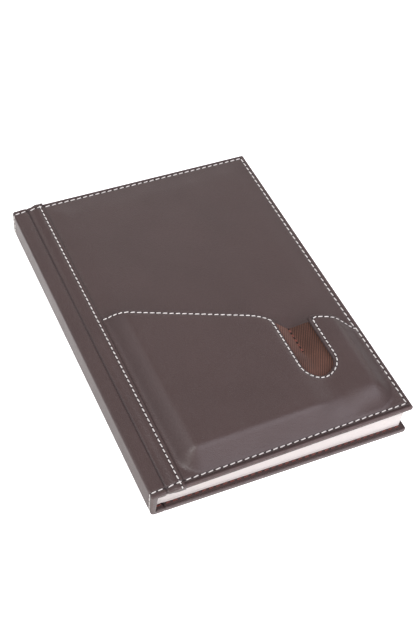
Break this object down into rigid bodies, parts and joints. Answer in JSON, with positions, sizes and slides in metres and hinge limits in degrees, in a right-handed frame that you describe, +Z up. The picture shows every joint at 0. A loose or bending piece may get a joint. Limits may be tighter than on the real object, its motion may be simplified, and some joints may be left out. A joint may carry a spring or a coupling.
{
  "type": "daily planner",
  "caption": "Hardcover daily planner in a padded leather case, with hinged covers, fanning page sections and an open phone and pen pocket sewn on the front.",
  "frame": {"origin": "middle of the back cover's outer face, which the closed planner rests on", "axes": "+X from the spine to the fore edge, +Y from tail to head, +Z up through the front cover"},
  "size_m": [0.1746, 0.2424, 0.0395],
  "materials": {
    "leather": "fine-grained semi-gloss brown leather",
    "lining": "matt brown inner leather",
    "cloth": "brown twill",
    "board": "grey binder's board",
    "foam": "thin white padding",
    "paper": "uncoated cream paper",
    "endpaper": "uncoated cream endpaper",
    "gauze": "open binding gauze",
    "thread": "white sewing thread",
    "inner_thread": "russet sewing thread"
  },
  "bodies": {
    "core": {"spine_leather": "leather", "spine_board": "board", "spine_gauze": "gauze", "front_hinge_rail": "board", "back_hinge_rail": "board", "gutter_margin": "paper", "section_5": "paper", "section_6": "paper", "section_7": "paper", "section_8": "paper", "back_flyleaf": "endpaper"},
    "front_cover": {"front_leather": "leather", "front_padding": "foam", "front_board": "board", "front_lining": "lining", "front_pastedown": "endpaper", "hinge_strip": "leather", "pocket_panel": "leather", "pocket_lining": "cloth", "front_edge_stitching": "thread", "strip_seam_stitching": "thread", "pocket_mouth_stitching": "thread", "divider_stitching": "inner_thread", "front_inner_stitching": "inner_thread"},
    "front_leaf": {"front_flyleaf": "endpaper"},
    "pages_1": {"section_1": "paper"},
    "pages_2": {"section_2": "paper"},
    "pages_3": {"section_3": "paper"},
    "pages_4": {"section_4": "paper"},
    "back_cover": {"back_leather": "leather", "back_board": "board", "back_lining": "lining", "back_pastedown": "endpaper", "back_inner_stitching": "inner_thread"}
  },
  "joints": [
    {"name": "front_cover_hinge", "type": "hinge", "parent": "core", "child": "front_cover", "pos_m": [-0.07865, 0, 0.0207], "axis": [0, -1, 0], "range_deg": [0, 178]},
    {"name": "front_leaf_turn", "type": "hinge", "parent": "core", "child": "front_leaf", "pos_m": [-0.07865, 0, 0.0207], "axis": [0, -1, 0], "range_deg": [0, 180]},
    {"name": "pages_1_turn", "type": "hinge", "parent": "core", "child": "pages_1", "pos_m": [-0.07865, 0, 0.0207], "axis": [0, -1, 0], "range_deg": [0, 180]},
    {"name": "pages_2_turn", "type": "hinge", "parent": "core", "child": "pages_2", "pos_m": [-0.07865, 0, 0.0207], "axis": [0, -1, 0], "range_deg": [0, 180]},
    {"name": "pages_3_turn", "type": "hinge", "parent": "core", "child": "pages_3", "pos_m": [-0.07865, 0, 0.0207], "axis": [0, -1, 0], "range_deg": [0, 180]},
    {"name": "pages_4_turn", "type": "hinge", "parent": "core", "child": "pages_4", "pos_m": [-0.07865, 0, 0.0207], "axis": [0, -1, 0], "range_deg": [0, 180]},
    {"name": "back_cover_hinge", "type": "hinge", "parent": "core", "child": "back_cover", "pos_m": [-0.07865, 0, -0.0002], "axis": [0, 1, 0], "range_deg": [0, 178]}
  ],
  "couplings": [
    {"joint": "front_leaf_turn", "follows": "front_cover_hinge", "ratio": 0.94},
    {"joint": "pages_1_turn", "follows": "front_cover_hinge", "ratio": 0.78},
    {"joint": "pages_2_turn", "follows": "front_cover_hinge", "ratio": 0.58},
    {"joint": "pages_3_turn", "follows": "front_cover_hinge", "ratio": 0.38},
    {"joint": "pages_4_turn", "follows": "front_cover_hinge", "ratio": 0.18}
  ]
}
